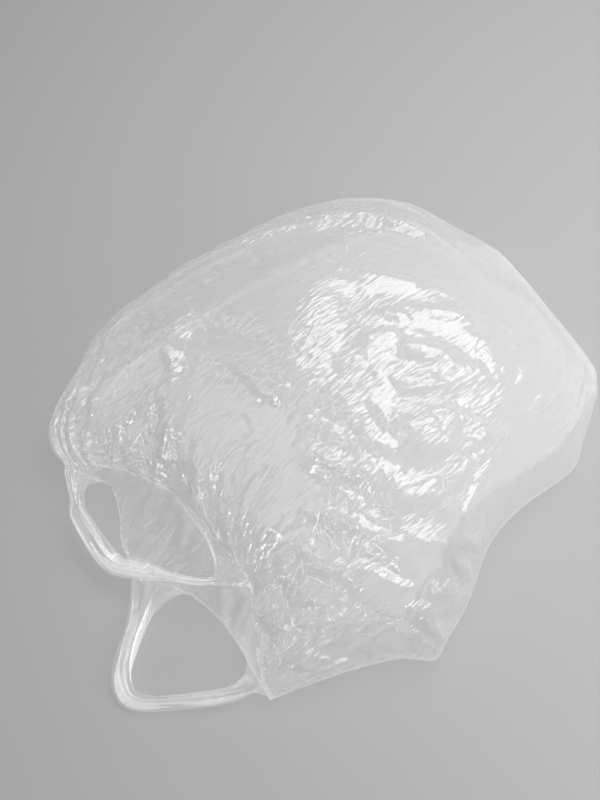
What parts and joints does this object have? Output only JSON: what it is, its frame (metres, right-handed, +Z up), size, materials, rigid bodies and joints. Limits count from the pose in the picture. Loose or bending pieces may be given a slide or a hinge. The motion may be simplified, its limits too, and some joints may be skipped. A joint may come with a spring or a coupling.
{
  "type": "plastic carrier bag",
  "caption": "Clear film carrier bag with two looped handles, lying on its side, puffed with air and open at the mouth.",
  "frame": {"origin": "on the resting surface, under the middle of the bag's outline seen from above", "axes": "+X along the bag from the handles to the bottom weld, +Y across it towards the side that the shorter handle is on, +Z up"},
  "size_m": [0.4874, 0.373, 0.1129],
  "materials": {
    "clear_film": "thin clear blown film, slightly milky, gloss, crinkled"
  },
  "bodies": {
    "root": {"bag_film": "clear_film"}
  },
  "joints": []
}
